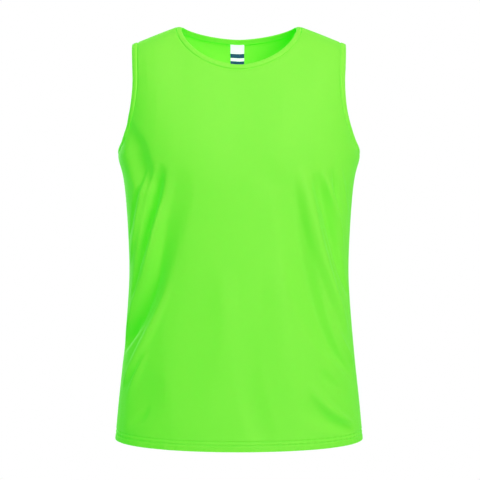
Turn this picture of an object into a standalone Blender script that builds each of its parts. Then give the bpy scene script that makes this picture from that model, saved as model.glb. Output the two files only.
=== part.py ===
"""A sleeveless round-neck sports t-shirt of light polyester knit, filled out as it is worn, hollow and open.

Metres, +Z up. The front faces -Y and the wearer's left arm is at +X. The origin is midway between the two
points where the edge of the neck opening crosses the shoulder line, and the shirt hangs down from there.
Each piece that a maker cuts is one closed solid, and the pieces lie a seam's gap apart.
"""

import math
from collections import namedtuple

import bmesh
import bpy
from mathutils import Vector

# The cloth, in metres
CLOTH = 0.0012
SEAM_GAP = 0.0003
HEM_DEPTH = 0.018
HEM_STEP = 0.0015
BAND_PROUD = 0.0003
BAND_DEPTH = 0.0017
NECKBAND_WIDTH = 0.009
ARMHOLE_BAND_WIDTH = 0.010
BAND_FOLD = 0.6

# The cut, in metres: heights are above the origin and widths are from the middle line
HEM_HEIGHT = -0.7025
UNDERARM_HEIGHT = -0.2205
NECK_EDGE_HALF_WIDTH = 0.098
NECK_SEAM_HALF_WIDTH = 0.106
SHOULDER_SLOPE = 0.405
ARMHOLE_TURN = math.radians(31)
ARMHOLE_CURVE_HEIGHT = 0.140
ARMHOLE_CURVE_POWER = 1.7

# The form as worn: the outline seen from the front, and the reach of front and back from the side seams
Level = namedtuple("Level", "height half_width front back girth_power")
LEVELS = (
    Level(0.000, 0.2015, 0.126, 0.112, 2.3),
    Level(-0.070, 0.1975, 0.126, 0.112, 2.3),
    Level(-0.110, 0.1942, 0.126, 0.112, 2.3),
    Level(-0.150, 0.1935, 0.126, 0.112, 2.3),
    Level(-0.190, 0.1972, 0.126, 0.112, 2.3),
    Level(-0.2205, 0.1992, 0.126, 0.111, 2.3),
    Level(-0.250, 0.1963, 0.126, 0.109, 2.3),
    Level(-0.290, 0.1920, 0.125, 0.105, 2.3),
    Level(-0.350, 0.1881, 0.124, 0.101, 2.3),
    Level(-0.415, 0.1862, 0.124, 0.098, 2.3),
    Level(-0.475, 0.1892, 0.124, 0.102, 2.3),
    Level(-0.560, 0.1968, 0.126, 0.111, 2.3),
    Level(-0.640, 0.2056, 0.128, 0.119, 2.2),
    Level(-0.7025, 0.2116, 0.130, 0.124, 2.1),
)

# The side seam stands out under the arm, where the armhole's edge bends round
UNDERARM_FLARE = 0.0052
UNDERARM_FLARE_REACH = 0.024
UNDERARM_FLARE_POWER = 6

# Each side: how far below the shoulder line it reaches its full depth, and how round it turns over there
Side = namedtuple("Side", "facing reach reach_taper middle_roundness side_roundness neck_drop neck_power")
FRONT = Side(-1, 0.324, 1.15, 1.3, 2.0, 0.0765, 1.8)
BACK = Side(1, 0.190, 0.0, 1.8, 1.8, 0.0230, 1.6)
MIDDLE_EASE = 0.025
ROUNDNESS_FROM = 0.090
ROUNDNESS_TO = 0.170

# The largest folds: a curve from an upper to a lower (x, height) point, drawn towards a middle one, half the
# fold's width, and how far it stands out of the form, or into it
Fold = namedtuple("Fold", "side upper middle lower half_width rise")
FOLDS = (
    Fold(FRONT, (-0.188, -0.170), (-0.160, -0.212), (-0.128, -0.262), 0.028, -0.006),
    Fold(FRONT, (-0.126, -0.240), (-0.140, -0.340), (-0.180, -0.470), 0.020, -0.006),
    Fold(FRONT, (-0.095, -0.260), (-0.105, -0.430), (-0.190, -0.565), 0.026, -0.008),
    Fold(FRONT, (-0.128, -0.470), (-0.150, -0.560), (-0.190, -0.620), 0.020, 0.005),
    Fold(FRONT, (0.104, -0.240), (0.124, -0.420), (0.190, -0.590), 0.022, 0.007),
    Fold(FRONT, (0.086, -0.280), (0.096, -0.460), (0.176, -0.590), 0.022, -0.006),
    Fold(FRONT, (0.126, -0.250), (0.146, -0.360), (0.182, -0.470), 0.020, -0.005),
    Fold(FRONT, (0.112, -0.600), (0.148, -0.645), (0.192, -0.668), 0.020, 0.004),
    Fold(BACK, (-0.112, -0.230), (-0.116, -0.400), (-0.186, -0.540), 0.024, -0.007),
    Fold(BACK, (-0.075, -0.330), (-0.085, -0.500), (-0.170, -0.620), 0.026, 0.005),
    Fold(BACK, (0.098, -0.260), (0.108, -0.430), (0.188, -0.575), 0.026, -0.008),
    Fold(BACK, (0.140, -0.250), (0.150, -0.350), (0.184, -0.450), 0.020, 0.005),
)
FOLD_STEPS = 12
SEAM_CALM = 0.10

# The grid of a panel
NECK_COLUMNS = 9
SHOULDER_COLUMNS = 7
NECK_COLUMN_BIAS = 0.6
ARMHOLE_ROWS = 12
ARMHOLE_ROW_POWER = 1.6
NECK_ROW_EASE = 0.02
BODY_ROWS = 14
SOLVER_STEPS = 30
SAME_POINT = 0.00001
SLOPE_ANGLE = 0.005
SLOPE_HEIGHT = 0.001

# The label
LABEL_WIDTH = 0.024
LABEL_HEIGHT = 0.041
LABEL_OFF_CENTRE = -0.003
LABEL_THICKNESS = 0.0008
LABEL_GAP = 0.0007
LABEL_BELOW_SEAM = 0.0006
LABEL_COLUMNS = 3
LABEL_ROWS = 5

GREEN = (0.20, 0.93, 0.045, 1.0)
BAND_GREEN = (0.22, 0.95, 0.06, 1.0)
WHITE = (0.80, 0.82, 0.84, 1.0)
KNIT_ROUGHNESS = 0.75
LABEL_ROUGHNESS = 0.6
SHARP_ANGLE = math.radians(50)


def level_value(height, field):
    """One field of LEVELS at any height, on a smooth curve through the rows."""
    last = len(LEVELS) - 1
    below = next((k for k in range(1, last) if LEVELS[k].height <= height), last)
    low, high = LEVELS[below - 1], LEVELS[below]
    before, after = LEVELS[max(below - 2, 0)], LEVELS[min(below + 1, last)]
    span = high.height - low.height
    share = min(max((height - low.height) / span, 0.0), 1.0)
    start, end = getattr(low, field), getattr(high, field)
    start_slope = span * (end - getattr(before, field)) / (high.height - before.height)
    end_slope = span * (getattr(after, field) - start) / (after.height - low.height)
    return (
        start * (2 * share**3 - 3 * share**2 + 1)
        + start_slope * (share**3 - 2 * share**2 + share)
        + end * (3 * share**2 - 2 * share**3)
        + end_slope * (share**3 - share**2)
    )


def smooth_step(value, start, end):
    """0 before start, 1 after end, and an even turn between them."""
    share = min(max((value - start) / (end - start), 0.0), 1.0)
    return share * share * (3 - 2 * share)


def shoulder_line(x):
    """Height of the shoulder line: a straight slope outside the neck, and a low arch over it."""
    reach = abs(x)
    if reach >= NECK_EDGE_HALF_WIDTH:
        return -SHOULDER_SLOPE * (reach - NECK_EDGE_HALF_WIDTH)
    return SHOULDER_SLOPE * NECK_EDGE_HALF_WIDTH / 2 * (1 - (reach / NECK_EDGE_HALF_WIDTH) ** 2)


def neck_seam(side, x):
    """Height of the neck seam on one side of the shirt."""
    share = min(abs(x) / NECK_SEAM_HALF_WIDTH, 1.0)
    drop = side.neck_drop * (1 - share**side.neck_power) ** (1 / side.neck_power)
    return shoulder_line(NECK_SEAM_HALF_WIDTH) - drop


def armhole_angle(height):
    """Angle round the body, from the middle of the front or back, at which the panel ends."""
    if height <= UNDERARM_HEIGHT:
        return math.pi / 2
    rise = min((height - UNDERARM_HEIGHT) / ARMHOLE_CURVE_HEIGHT, 1.0)
    return math.pi / 2 - ARMHOLE_TURN * math.sqrt(1 - (1 - rise) ** ARMHOLE_CURVE_POWER)


def column_angle(across, height):
    """Angle round the body of a grid column; across runs from -1 to 1 between the panel's edges."""
    turn = math.pi / 2 - armhole_angle(height)
    return across * math.pi / 2 - math.copysign(across**2 * turn, across)


def x_at(angle, height):
    """x of the cloth at an angle round the body and a height."""
    nearness = (height - UNDERARM_HEIGHT) / UNDERARM_FLARE_REACH
    flare = UNDERARM_FLARE * math.exp(-(nearness**2)) * math.sin(angle) ** UNDERARM_FLARE_POWER
    return (level_value(height, "half_width") + flare) * math.sin(angle)


def column_x(across, height):
    """x of a grid column at a height."""
    return x_at(column_angle(across, height), height)


def reach_at(side, x):
    """How far below the shoulder line this side comes to its full depth."""
    return side.reach - side.reach_taper * (math.hypot(x, MIDDLE_EASE) - MIDDLE_EASE)


def roundness_at(side, x):
    """How round this side turns over at the shoulder line: 1 is a sharp ridge and 2 is a half circle."""
    turn = smooth_step(abs(x), ROUNDNESS_FROM, ROUNDNESS_TO)
    return side.middle_roundness + turn * (side.side_roundness - side.middle_roundness)


def depth(side, angle, height):
    """How far the cloth stands in front of, or behind, the plane of the side seams."""
    x = x_at(angle, height)
    full = level_value(height, "front" if side is FRONT else "back")
    power = level_value(height, "girth_power")
    girth = max(1 - abs(math.sin(angle)) ** power, 0.0) ** (1 / power)
    fall = min(max(shoulder_line(x) - height, 0.0) / reach_at(side, x), 1.0)
    return full * girth * (1 - (1 - fall) ** 2) ** (1 / roundness_at(side, x))


def form_point(side, angle, height):
    """The point of the smooth form, before its folds."""
    return Vector((x_at(angle, height), side.facing * depth(side, angle, height), height))


def fold_rise(side, point):
    """How far the folds lift the cloth at a point of the form."""
    rise = 0.0
    place = Vector((point.x, point.z))
    for fold in FOLDS:
        if fold.side is not side:
            continue
        upper, middle, lower = (Vector(p) for p in (fold.upper, fold.middle, fold.lower))
        nearest = (1.0, 0.0)
        for k in range(FOLD_STEPS + 1):
            t = k / FOLD_STEPS
            on_path = upper * (1 - t) ** 2 + middle * 2 * t * (1 - t) + lower * t**2
            nearest = min(nearest, ((place - on_path).length, t))
        distance, along = nearest
        if distance < fold.half_width:
            bell = (1 - (distance / fold.half_width) ** 2) ** 2
            rise += fold.rise * bell * math.sqrt(4 * along * (1 - along))
    return rise


def column_positions():
    """Places of the grid's columns, -1 to 1, with one on each end of the neck seam."""
    end_height = shoulder_line(NECK_SEAM_HALF_WIDTH)
    end_angle = math.asin(NECK_SEAM_HALF_WIDTH / level_value(end_height, "half_width"))
    quarter = math.pi / 4
    neck_share = (quarter - math.sqrt(quarter**2 - ARMHOLE_TURN * end_angle)) / ARMHOLE_TURN
    half = [0.0]
    for k in range(1, NECK_COLUMNS + 1):
        even = k / NECK_COLUMNS
        crowded = math.sin(even * math.pi / 2)
        half.append(neck_share * (even + NECK_COLUMN_BIAS * (crowded - even)))
    for k in range(1, SHOULDER_COLUMNS + 1):
        half.append(neck_share + (1 - neck_share) * k / SHOULDER_COLUMNS)
    return [-place for place in reversed(half[1:])] + half


def solve_height(across, height_at_x):
    """The height at which a column meets a line that is given as a height for each x."""
    height = height_at_x(column_x(across, shoulder_line(NECK_EDGE_HALF_WIDTH)))
    for _ in range(SOLVER_STEPS):
        height = (height + height_at_x(column_x(across, height))) / 2
    return height


def armhole_rows(side, across, is_neck):
    """Heights of one column's points from above the underarm up to the shoulder seam or the neck seam."""
    top = solve_height(across, (lambda x: neck_seam(side, x)) if is_neck else shoulder_line)
    highest = max(shoulder_line(column_x(across, top)) - top, 0.0)
    lowest = shoulder_line(column_x(across, UNDERARM_HEIGHT)) - UNDERARM_HEIGHT
    ease = NECK_ROW_EASE / (NECK_ROW_EASE + highest)
    power = 1 + (roundness_at(side, column_x(across, top)) - 1) * ease
    heights = []
    for k in range(1, ARMHOLE_ROWS):
        share = (k / ARMHOLE_ROWS) ** ARMHOLE_ROW_POWER
        fall = highest + (lowest - highest) * (1 - share) ** power
        heights.append(solve_height(across, lambda x, fall=fall: shoulder_line(x) - fall))
    return heights + [top]


def body_rows():
    """Heights of the rows from the hem up to the underarm, with a step where the turned-up hem ends."""
    step_top = HEM_HEIGHT + HEM_DEPTH + HEM_STEP
    rows = [HEM_HEIGHT, HEM_HEIGHT + HEM_DEPTH, step_top]
    spacing = (UNDERARM_HEIGHT - step_top) / BODY_ROWS
    return rows + [step_top + spacing * k for k in range(1, BODY_ROWS + 1)]


def form_grid(side, columns):
    """A panel's points, row by row from the hem, each row to the right as seen from outside."""
    low_rows = body_rows()
    neck_count = range(SHOULDER_COLUMNS + 1, SHOULDER_COLUMNS + 2 * NECK_COLUMNS)
    strips = []
    for k, place in enumerate(columns):
        across = -side.facing * place
        heights = low_rows + armhole_rows(side, across, k in neck_count)
        strips.append([form_point(side, column_angle(across, height), height) for height in heights])
    return [list(row) for row in zip(*strips)]


def point_key(point):
    """One key for points that lie on each other."""
    return tuple(round(value / SAME_POINT) for value in point)


def shared_normals(grids):
    """Outward normals of all grids, the same on both sides of a seam."""
    sums = {}
    for grid in grids:
        for lower, upper in zip(grid, grid[1:]):
            for k in range(len(lower) - 1):
                corners = (lower[k], lower[k + 1], upper[k + 1], upper[k])
                normal = (corners[2] - corners[0]).cross(corners[3] - corners[1])
                for corner in corners:
                    key = point_key(corner)
                    sums[key] = sums.get(key, Vector()) + normal
    return [[[sums[point_key(p)].normalized() for p in row] for row in grid] for grid in grids]


def folded(side, grid, normals, columns):
    """The grid with its folds, which die away at the side seams."""
    shoulder_row = len(grid) - 1
    rows = []
    for r, (row, row_normals) in enumerate(zip(grid, normals)):
        moved = []
        for point, normal, place in zip(row, row_normals, columns):
            calm = smooth_step(1 - abs(place), 0.0, SEAM_CALM) if r < shoulder_row else 0.0
            moved.append(point + normal * fold_rise(side, point) * calm)
        rows.append(moved)
    return rows


def edges_in_order(grid):
    """The named edges of a panel's grid, each a list of (row, column), in order round the panel."""
    top, right = len(grid) - 1, len(grid[0]) - 1
    underarm = len(body_rows()) - 1
    neck_right, neck_left = right - SHOULDER_COLUMNS, SHOULDER_COLUMNS
    return {
        "hem": [(0, c) for c in range(right + 1)],
        "right side": [(r, right) for r in range(underarm + 1)],
        "right armhole": [(r, right) for r in range(underarm, top + 1)],
        "right shoulder": [(top, c) for c in range(right, neck_right - 1, -1)],
        "neck": [(top, c) for c in range(neck_right, neck_left - 1, -1)],
        "left shoulder": [(top, c) for c in range(neck_left, -1, -1)],
        "left armhole": [(r, 0) for r in range(top, underarm - 1, -1)],
        "left side": [(r, 0) for r in range(underarm, -1, -1)],
    }


def pull_from_seams(grid, normals):
    """The grid with every sewn edge drawn back by half the gap of a seam."""
    loop, gaps = [], []
    for name, edge in edges_in_order(grid).items():
        loop += edge[:-1]
        gaps += [0.0 if name == "hem" else SEAM_GAP / 2] * (len(edge) - 1)
    pulled = [list(row) for row in grid]
    for k, (r, c) in enumerate(loop):
        following = loop[(k + 1) % len(loop)]
        before = grid[r][c] - grid[loop[k - 1][0]][loop[k - 1][1]]
        after = grid[following[0]][following[1]] - grid[r][c]
        inward_before = normals[r][c].cross(before).normalized()
        inward_after = normals[r][c].cross(after).normalized()
        move = inward_before * gaps[k - 1] + inward_after * gaps[k]
        pulled[r][c] = grid[r][c] + move / (1 + inward_before.dot(inward_after))
    return pulled


def seam_loop(*parts):
    """The (point, normal) pairs round an opening, from the named edge of each (grid, normals, edge)."""
    loop = []
    for grid, normals, edge in parts:
        loop += [(grid[r][c], normals[r][c]) for r, c in edges_in_order(grid)[edge][:-1]]
    return loop


def add_object(name, vertices, faces, material, parent):
    """A closed mesh object with its faces turned outward."""
    mesh = bpy.data.meshes.new(name)
    mesh.from_pydata([tuple(vertex) for vertex in vertices], [], faces)
    turned = bmesh.new()
    turned.from_mesh(mesh)
    bmesh.ops.recalc_face_normals(turned, faces=turned.faces)
    turned.to_mesh(mesh)
    turned.free()
    mesh.materials.append(material)
    mesh.shade_smooth()
    mesh.set_sharp_from_angle(angle=SHARP_ANGLE)
    piece = bpy.data.objects.new(name, mesh)
    bpy.context.scene.collection.objects.link(piece)
    piece.parent = parent
    return piece


def add_wall(name, outer, inner, material, parent):
    """A closed wall between two grids of the same size."""
    height, width = len(outer), len(outer[0])
    vertices = [point for grid in (outer, inner) for row in grid for point in row]
    behind = height * width
    middle = (width - 1) // 2
    faces = []
    for r in range(height - 1):
        for c in range(width - 1):
            low, high = r * width + c, (r + 1) * width + c
            # A face's diagonal starts at its first corner, so the two halves mirror each other
            if c >= middle:
                quad = [low, low + 1, high + 1, high]
            else:
                quad = [low + 1, high + 1, high, low]
            faces.append(quad)
            faces.append([behind + index for index in quad[:1] + quad[:0:-1]])
    rim = list(range(width))
    rim += [r * width + width - 1 for r in range(1, height)]
    rim += [(height - 1) * width + c for c in range(width - 2, -1, -1)]
    rim += [r * width for r in range(height - 2, 0, -1)]
    for start, end in zip(rim, rim[1:] + rim[:1]):
        faces.append([end, start, behind + start, behind + end])
    return add_object(name, vertices, faces, material, parent)


def add_panel(name, grid, normals, material, parent):
    """A front or back: a wall of one layer of cloth, two at the turned-up hem."""
    outer = pull_from_seams(grid, normals)
    inner = []
    for row, row_normals in zip(outer, normals):
        layers = 2 if row[0].z <= HEM_HEIGHT + HEM_DEPTH + HEM_STEP / 2 else 1
        inner.append([point - n * CLOTH * layers for point, n in zip(row, row_normals)])
    return add_wall(name, outer, inner, material, parent)


def add_band(name, loop, width, material, parent):
    """A folded band that carries the panels on past a seam, which is a closed loop of (point, normal)."""
    stations = (
        (SEAM_GAP / 2, BAND_PROUD, -BAND_DEPTH),
        (width * BAND_FOLD, BAND_PROUD, -BAND_DEPTH),
        (width, 0.0, -BAND_DEPTH + BAND_PROUD),
    )
    count = len(loop)
    vertices = []
    for k, (point, normal) in enumerate(loop):
        along = loop[(k + 1) % count][0] - loop[k - 1][0]
        outward = along.cross(normal).normalized()
        vertices += [point + outward * out + normal * top for out, top, _ in stations]
        vertices += [point + outward * out + normal * low for out, _, low in reversed(stations)]
    profile = 2 * len(stations)
    faces = []
    for k in range(count):
        here, there = k * profile, (k + 1) % count * profile
        for p in range(profile):
            q = (p + 1) % profile
            faces.append([here + p, here + q, there + q, there + p])
    return add_object(name, vertices, faces, material, parent)


def form_normal(side, angle, height):
    """Outward normal of the smooth form."""
    across = form_point(side, angle + SLOPE_ANGLE, height) - form_point(side, angle - SLOPE_ANGLE, height)
    upward = form_point(side, angle, height + SLOPE_HEIGHT) - form_point(side, angle, height - SLOPE_HEIGHT)
    return (across.cross(upward) * -side.facing).normalized()


def add_label(material, parent):
    """The label that hangs from the back neck seam, inside the back panel."""
    outer, inner = [], []
    for r in range(LABEL_ROWS + 1):
        outer_row, inner_row = [], []
        for c in range(LABEL_COLUMNS + 1):
            x = LABEL_OFF_CENTRE + LABEL_WIDTH * (c / LABEL_COLUMNS - 0.5)
            height = neck_seam(BACK, x) - LABEL_BELOW_SEAM - LABEL_HEIGHT * r / LABEL_ROWS
            angle = math.asin(x / level_value(height, "half_width"))
            point, normal = form_point(BACK, angle, height), form_normal(BACK, angle, height)
            outer_row.append(point - normal * (CLOTH + LABEL_GAP))
            inner_row.append(point - normal * (CLOTH + LABEL_GAP + LABEL_THICKNESS))
        outer.append(outer_row)
        inner.append(inner_row)
    return add_wall("neck_label", outer, inner, material, parent)


def make_material(name, colour, roughness):
    """A plain material in the cloth's colour."""
    material = bpy.data.materials.new(name)
    material.use_nodes = True
    shader = material.node_tree.nodes["Principled BSDF"]
    shader.inputs["Base Color"].default_value = colour
    shader.inputs["Roughness"].default_value = roughness
    shader.inputs["Metallic"].default_value = 0.0
    material.diffuse_color = colour
    return material


def clear_scene():
    """Removes whatever the scene holds."""
    for item in list(bpy.data.objects):
        bpy.data.objects.remove(item, do_unlink=True)


def main():
    """Cuts the panels from one form, then adds the bands and the label."""
    clear_scene()
    shirt = bpy.data.objects.new("shirt", None)
    bpy.context.scene.collection.objects.link(shirt)
    knit = make_material("green_knit", GREEN, KNIT_ROUGHNESS)
    band_knit = make_material("green_band", BAND_GREEN, KNIT_ROUGHNESS)
    label_cloth = make_material("label_cloth", WHITE, LABEL_ROUGHNESS)

    columns = column_positions()
    sides = (FRONT, BACK)
    plain = [form_grid(side, columns) for side in sides]
    normals = shared_normals(plain)
    grids = [folded(side, g, n, columns) for side, g, n in zip(sides, plain, normals)]
    normals = shared_normals(grids)
    for name, grid, grid_normals in zip(("front", "back"), grids, normals):
        add_panel(name, grid, grid_normals, knit, shirt)

    front, back = zip(grids, normals)
    neck = seam_loop((*front, "neck"), (*back, "neck"))
    left = seam_loop((*front, "right armhole"), (*back, "left armhole"))
    right = seam_loop((*back, "right armhole"), (*front, "left armhole"))
    add_band("neckband", neck, NECKBAND_WIDTH, band_knit, shirt)
    add_band("armhole_band_left", left, ARMHOLE_BAND_WIDTH, band_knit, shirt)
    add_band("armhole_band_right", right, ARMHOLE_BAND_WIDTH, band_knit, shirt)
    add_label(label_cloth, shirt)


main()
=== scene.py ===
"""A sleeveless round-neck sports t-shirt of fluorescent green knit, filled out as it is worn, hollow and open.

Metres, +Z up. The front faces -Y and the wearer's left arm is at +X. The panels are thin shells on the cut's worn
form, with their folds, hem, seams, bands, stitches and label.
"""

import logging
import math
from collections.abc import Callable
from dataclasses import dataclass, field
from enum import Enum

import bpy
import numpy as np
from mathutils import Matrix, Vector
from mathutils.kdtree import KDTree


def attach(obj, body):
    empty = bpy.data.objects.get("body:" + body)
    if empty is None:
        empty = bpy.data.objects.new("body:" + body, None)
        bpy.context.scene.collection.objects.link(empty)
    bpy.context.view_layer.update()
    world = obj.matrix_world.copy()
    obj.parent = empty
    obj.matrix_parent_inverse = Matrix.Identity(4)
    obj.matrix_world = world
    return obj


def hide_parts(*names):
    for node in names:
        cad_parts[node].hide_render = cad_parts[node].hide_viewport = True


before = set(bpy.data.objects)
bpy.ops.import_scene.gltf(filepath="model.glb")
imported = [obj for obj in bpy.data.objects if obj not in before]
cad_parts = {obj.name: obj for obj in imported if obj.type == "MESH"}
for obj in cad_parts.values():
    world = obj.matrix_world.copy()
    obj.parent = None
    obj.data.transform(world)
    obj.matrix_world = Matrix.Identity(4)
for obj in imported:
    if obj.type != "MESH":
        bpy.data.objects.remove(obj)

LOG = logging.getLogger("t_shirt")
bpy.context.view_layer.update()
BODY = "root"
CLOTH_MAP = "cloth"
Triple = tuple[float, float, float]


class Side(Enum):
    """The two panels, and which way each faces along Y."""

    FRONT = -1
    BACK = 1


class Edge(Enum):
    """The sewn and open edges of a panel, seen from outside."""

    HEM = "hem"
    RIGHT_SIDE = "right side"
    RIGHT_ARMHOLE = "right armhole"
    RIGHT_SHOULDER = "right shoulder"
    NECK = "neck"
    LEFT_SHOULDER = "left shoulder"
    LEFT_ARMHOLE = "left armhole"
    LEFT_SIDE = "left side"


class Slot(Enum):
    """The record's material slots."""

    BODY = "body_knit"
    BAND = "band_knit"
    LABEL = "label_cloth"


def smooth_step(value: np.ndarray, start: float, end: float) -> np.ndarray:
    """Turns evenly from 0 at start to 1 at end."""
    share = np.clip((value - start) / (end - start), 0.0, 1.0)
    return share * share * (3 - 2 * share)


def unit(vectors: np.ndarray) -> np.ndarray:
    """Vectors of length 1 along the given ones."""
    return vectors / np.maximum(np.linalg.norm(vectors, axis=-1, keepdims=True), 1e-12)


def lengths_along(line: np.ndarray) -> np.ndarray:
    """Distance down the rows of points, from the first row."""
    steps = np.linalg.norm(np.diff(line, axis=0), axis=-1)
    return np.concatenate([np.zeros((1, *steps.shape[1:])), np.cumsum(steps, axis=0)])


def in_scene(name: str, data: bpy.types.ID) -> bpy.types.Object:
    """A new object of the scene.

    Args:
        name: the object's name.
        data: its mesh, lamp or camera.

    Returns:
        The object.
    """
    made = bpy.data.objects.new(name, data)
    bpy.context.scene.collection.objects.link(made)
    return made


@dataclass(frozen=True)
class Level:
    """One row of the worn form's sizes, in metres."""

    height: float
    half_width: float
    front: float
    back: float
    girth_power: float


@dataclass(frozen=True)
class PanelCut:
    """How one panel turns over at the shoulder line, and its neck."""

    reach: float
    reach_taper: float
    middle_roundness: float
    side_roundness: float
    neck_drop: float
    neck_power: float


@dataclass(frozen=True)
class WornForm:
    """The smooth hollow form of the shirt as worn, on which both panels lie.

    A place on it is an angle round the body, from the middle of its panel, and a height.
    """

    hem_height: float = -0.7025
    underarm_height: float = -0.2205
    neck_edge_half_width: float = 0.098
    neck_seam_half_width: float = 0.106
    shoulder_slope: float = 0.405
    armhole_turn: float = math.radians(31)
    armhole_curve_height: float = 0.140
    armhole_curve_power: float = 1.7
    underarm_flare: float = 0.0052
    underarm_flare_reach: float = 0.024
    underarm_flare_power: float = 6
    middle_ease: float = 0.025
    roundness_from: float = 0.090
    roundness_to: float = 0.170
    cuts: dict[Side, PanelCut] = field(
        default_factory=lambda: {
            Side.FRONT: PanelCut(0.324, 1.15, 1.3, 2.0, 0.0765, 1.8),
            Side.BACK: PanelCut(0.190, 0.0, 1.8, 1.8, 0.0230, 1.6),
        }
    )
    levels: tuple[Level, ...] = (
        Level(0.000, 0.2015, 0.126, 0.112, 2.3),
        Level(-0.070, 0.1975, 0.126, 0.112, 2.3),
        Level(-0.110, 0.1942, 0.126, 0.112, 2.3),
        Level(-0.150, 0.1935, 0.126, 0.112, 2.3),
        Level(-0.190, 0.1972, 0.126, 0.112, 2.3),
        Level(-0.2205, 0.1992, 0.126, 0.111, 2.3),
        Level(-0.250, 0.1963, 0.126, 0.109, 2.3),
        Level(-0.290, 0.1920, 0.125, 0.105, 2.3),
        Level(-0.350, 0.1881, 0.124, 0.101, 2.3),
        Level(-0.415, 0.1862, 0.124, 0.098, 2.3),
        Level(-0.475, 0.1892, 0.124, 0.102, 2.3),
        Level(-0.560, 0.1968, 0.126, 0.111, 2.3),
        Level(-0.640, 0.2056, 0.128, 0.119, 2.2),
        Level(-0.7025, 0.2116, 0.130, 0.124, 2.1),
    )

    def level_value(self, height: np.ndarray, name: str) -> np.ndarray:
        """Reads one size at any height, on a smooth curve through the levels.

        Args:
            height: heights above the origin.
            name: the level's field.

        Returns:
            The size at each height.
        """
        heights = np.array([level.height for level in self.levels])
        values = np.array([getattr(level, name) for level in self.levels])
        last = len(heights) - 1
        below = np.clip(np.searchsorted(-heights, -height, side="left"), 1, last)
        upper, lower = heights[below - 1], heights[below]
        before, after = np.maximum(below - 2, 0), np.minimum(below + 1, last)
        span = lower - upper
        share = np.clip((height - upper) / span, 0.0, 1.0)
        start, end = values[below - 1], values[below]
        start_slope = span * (end - values[before]) / (lower - heights[before])
        end_slope = span * (values[after] - start) / (heights[after] - upper)
        return (
            start * (2 * share**3 - 3 * share**2 + 1)
            + start_slope * (share**3 - 2 * share**2 + share)
            + end * (3 * share**2 - 2 * share**3)
            + end_slope * (share**3 - share**2)
        )

    def shoulder_line(self, x: np.ndarray) -> np.ndarray:
        """Height of the shoulder line: a straight slope outside the neck, and a low arch over it.

        Args:
            x: distances from the middle, to either side.

        Returns:
            The line's height at each place.
        """
        reach, edge = np.abs(x), self.neck_edge_half_width
        slope = -self.shoulder_slope * (reach - edge)
        arch = self.shoulder_slope * edge / 2 * (1 - (reach / edge) ** 2)
        return np.where(reach >= edge, slope, arch)

    def neck_seam(self, side: Side, x: np.ndarray) -> np.ndarray:
        """Height of the neck seam of one panel.

        Args:
            side: the panel.
            x: distances from the middle, to either side.

        Returns:
            The seam's height at each place.
        """
        cut = self.cuts[side]
        share = np.minimum(np.abs(x) / self.neck_seam_half_width, 1.0)
        drop = cut.neck_drop * (1 - share**cut.neck_power) ** (1 / cut.neck_power)
        return self.shoulder_line(np.array(self.neck_seam_half_width)) - drop

    def armhole_angle(self, height: np.ndarray) -> np.ndarray:
        """Angle at which a panel ends, at its side seam or its armhole."""
        rise = np.clip((height - self.underarm_height) / self.armhole_curve_height, 0.0, 1.0)
        return math.pi / 2 - self.armhole_turn * np.sqrt(1 - (1 - rise) ** self.armhole_curve_power)

    def column_angle(self, across: np.ndarray, height: np.ndarray) -> np.ndarray:
        """Angle of a grid column; across runs from -1 to 1 between the panel's edges."""
        turn = math.pi / 2 - self.armhole_angle(height)
        return across * math.pi / 2 - np.sign(across) * across**2 * turn

    def x_at(self, angle: np.ndarray, height: np.ndarray) -> np.ndarray:
        """x of the cloth.

        Args:
            angle: angles round the body from the middle of the panel.
            height: heights above the origin.

        Returns:
            x at each place.
        """
        nearness = (height - self.underarm_height) / self.underarm_flare_reach
        sine = np.sin(angle)
        flare = self.underarm_flare * np.exp(-(nearness**2)) * np.abs(sine) ** self.underarm_flare_power
        return (self.level_value(height, "half_width") + flare) * sine

    def roundness_at(self, side: Side, x: np.ndarray) -> np.ndarray:
        """How round the cloth turns over at the shoulder line: 1 is a ridge and 2 is a half circle.

        Args:
            side: the panel.
            x: distances from the middle, to either side.

        Returns:
            The roundness at each place.
        """
        cut = self.cuts[side]
        turn = smooth_step(np.abs(x), self.roundness_from, self.roundness_to)
        return cut.middle_roundness + turn * (cut.side_roundness - cut.middle_roundness)

    def depth(self, side: Side, angle: np.ndarray, height: np.ndarray) -> np.ndarray:
        """How far the cloth stands from the plane of the side seams.

        Args:
            side: the panel.
            angle: angles round the body from the middle of the panel.
            height: heights above the origin.

        Returns:
            The depth at each place.
        """
        cut = self.cuts[side]
        x = self.x_at(angle, height)
        full = self.level_value(height, side.name.lower())
        power = self.level_value(height, "girth_power")
        girth = np.maximum(1 - np.abs(np.sin(angle)) ** power, 0.0) ** (1 / power)
        reach = cut.reach - cut.reach_taper * (np.hypot(x, self.middle_ease) - self.middle_ease)
        fall = np.clip(np.maximum(self.shoulder_line(x) - height, 0.0) / reach, 0.0, 1.0)
        return full * girth * (1 - (1 - fall) ** 2) ** (1 / self.roundness_at(side, x))

    def point(self, side: Side, angle: np.ndarray, height: np.ndarray) -> np.ndarray:
        """Points of the form before its folds.

        Args:
            side: the panel.
            angle: angles round the body from the middle of the panel.
            height: heights above the origin.

        Returns:
            The points, with x, y and z last.
        """
        x = self.x_at(angle, height)
        y = side.value * self.depth(side, angle, height)
        return np.stack([x, y, np.broadcast_to(height, x.shape)], axis=-1)


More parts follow.
